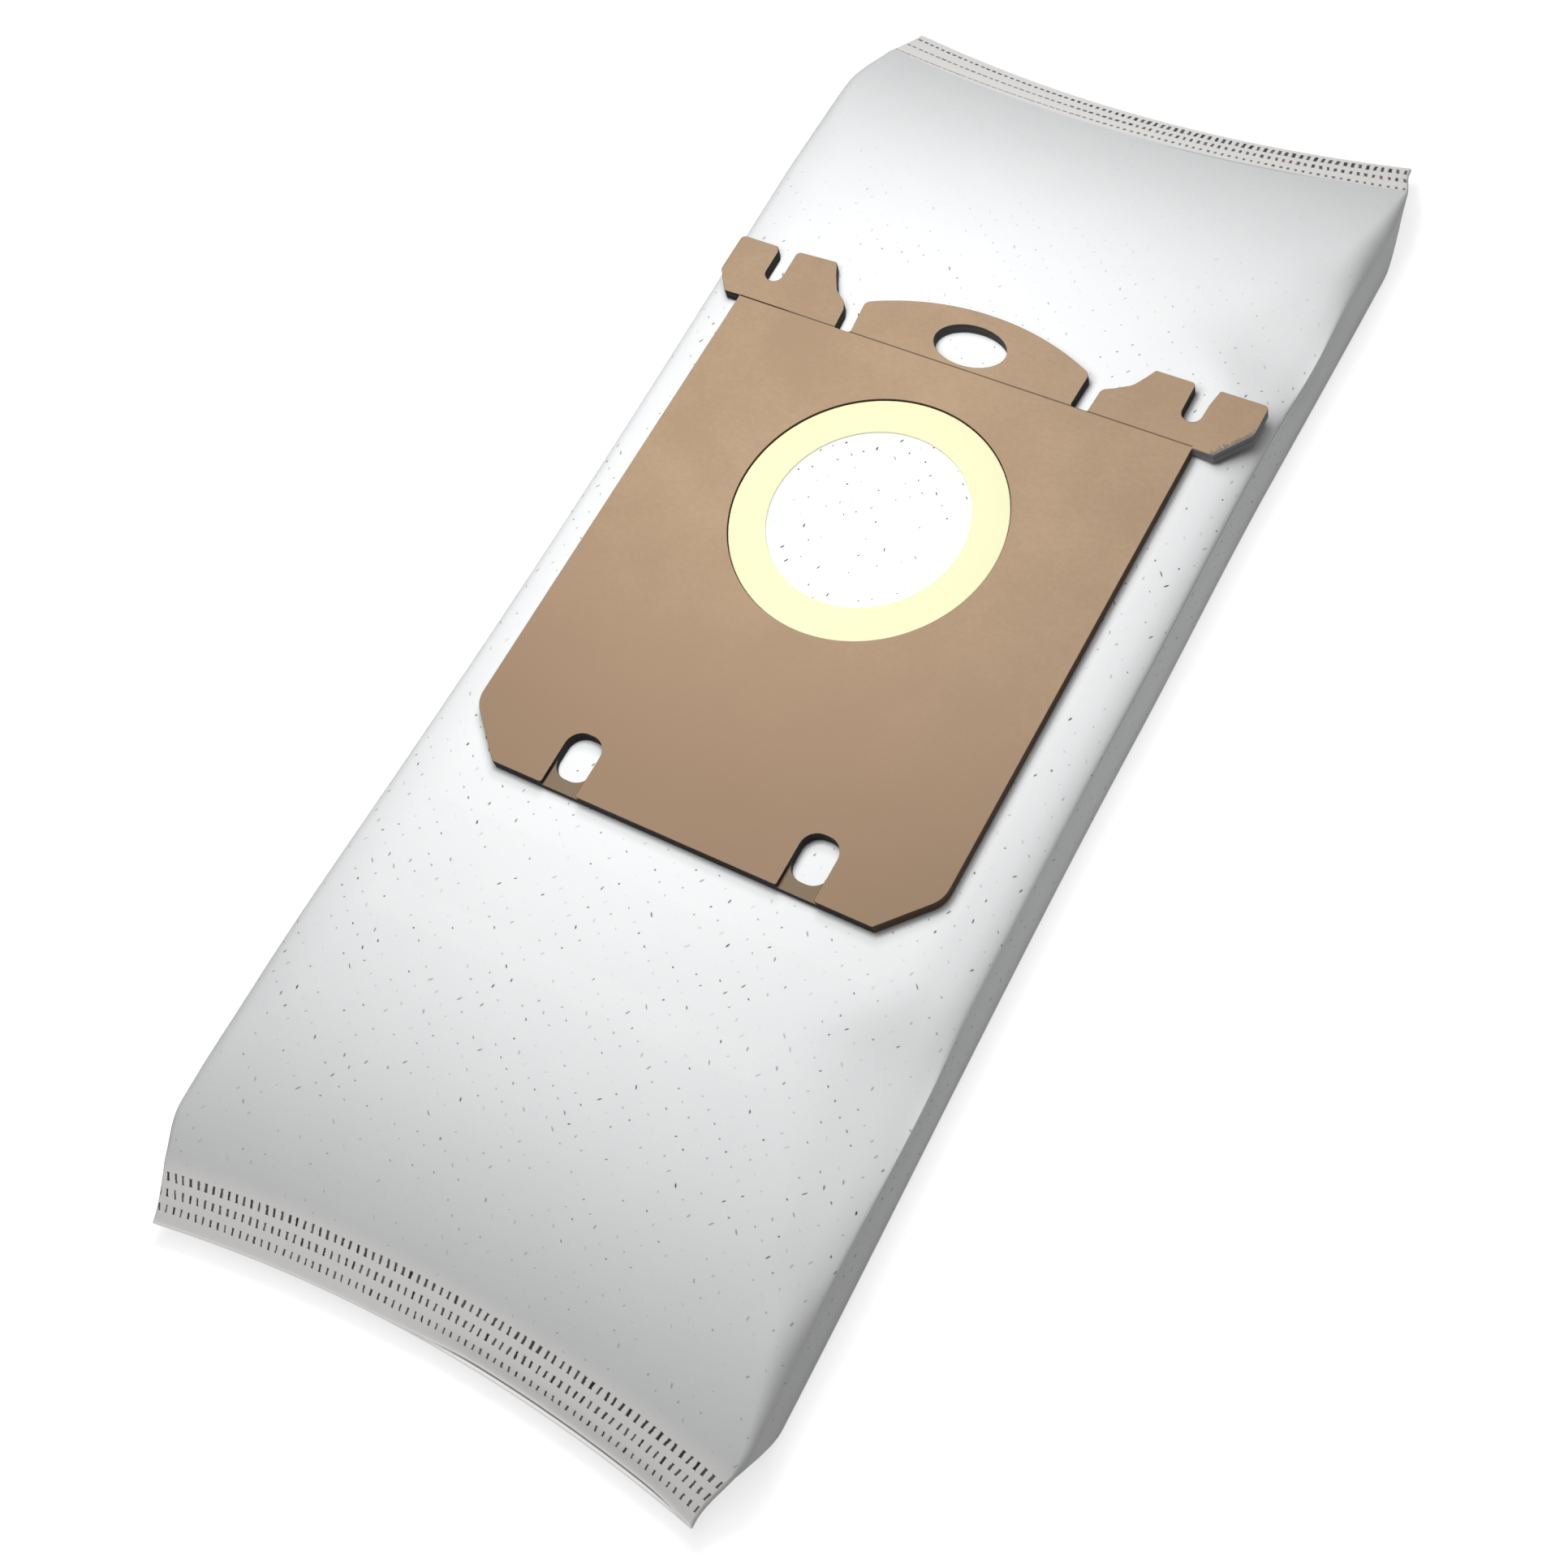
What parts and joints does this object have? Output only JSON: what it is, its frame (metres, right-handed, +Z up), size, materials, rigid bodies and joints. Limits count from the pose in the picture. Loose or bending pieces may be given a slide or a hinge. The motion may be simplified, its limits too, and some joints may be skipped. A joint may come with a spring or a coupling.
{
  "type": "vacuum cleaner dust bag",
  "caption": "Welded fleece dust bag lying flat, with a kraft board collar that has side lugs, a pull tab with a finger hole and a rubber seal ring round the inlet.",
  "frame": {"origin": "on the surface that the bag lies on, under the middle of its box", "axes": "+X across the bag's width, +Y along its length to the end with the pull tab, +Z up out of the collar's face"},
  "size_m": [0.1322, 0.317, 0.0241],
  "materials": {
    "fleece": "soft matt non-woven fleece with small bond points",
    "kraft_board": "matt brown kraft board",
    "seal_rubber": "satin pale yellow rubber"
  },
  "bodies": {
    "root": {"fleece_bag": "fleece", "back_board": "kraft_board", "front_board": "kraft_board", "seal_ring": "seal_rubber"}
  },
  "joints": []
}
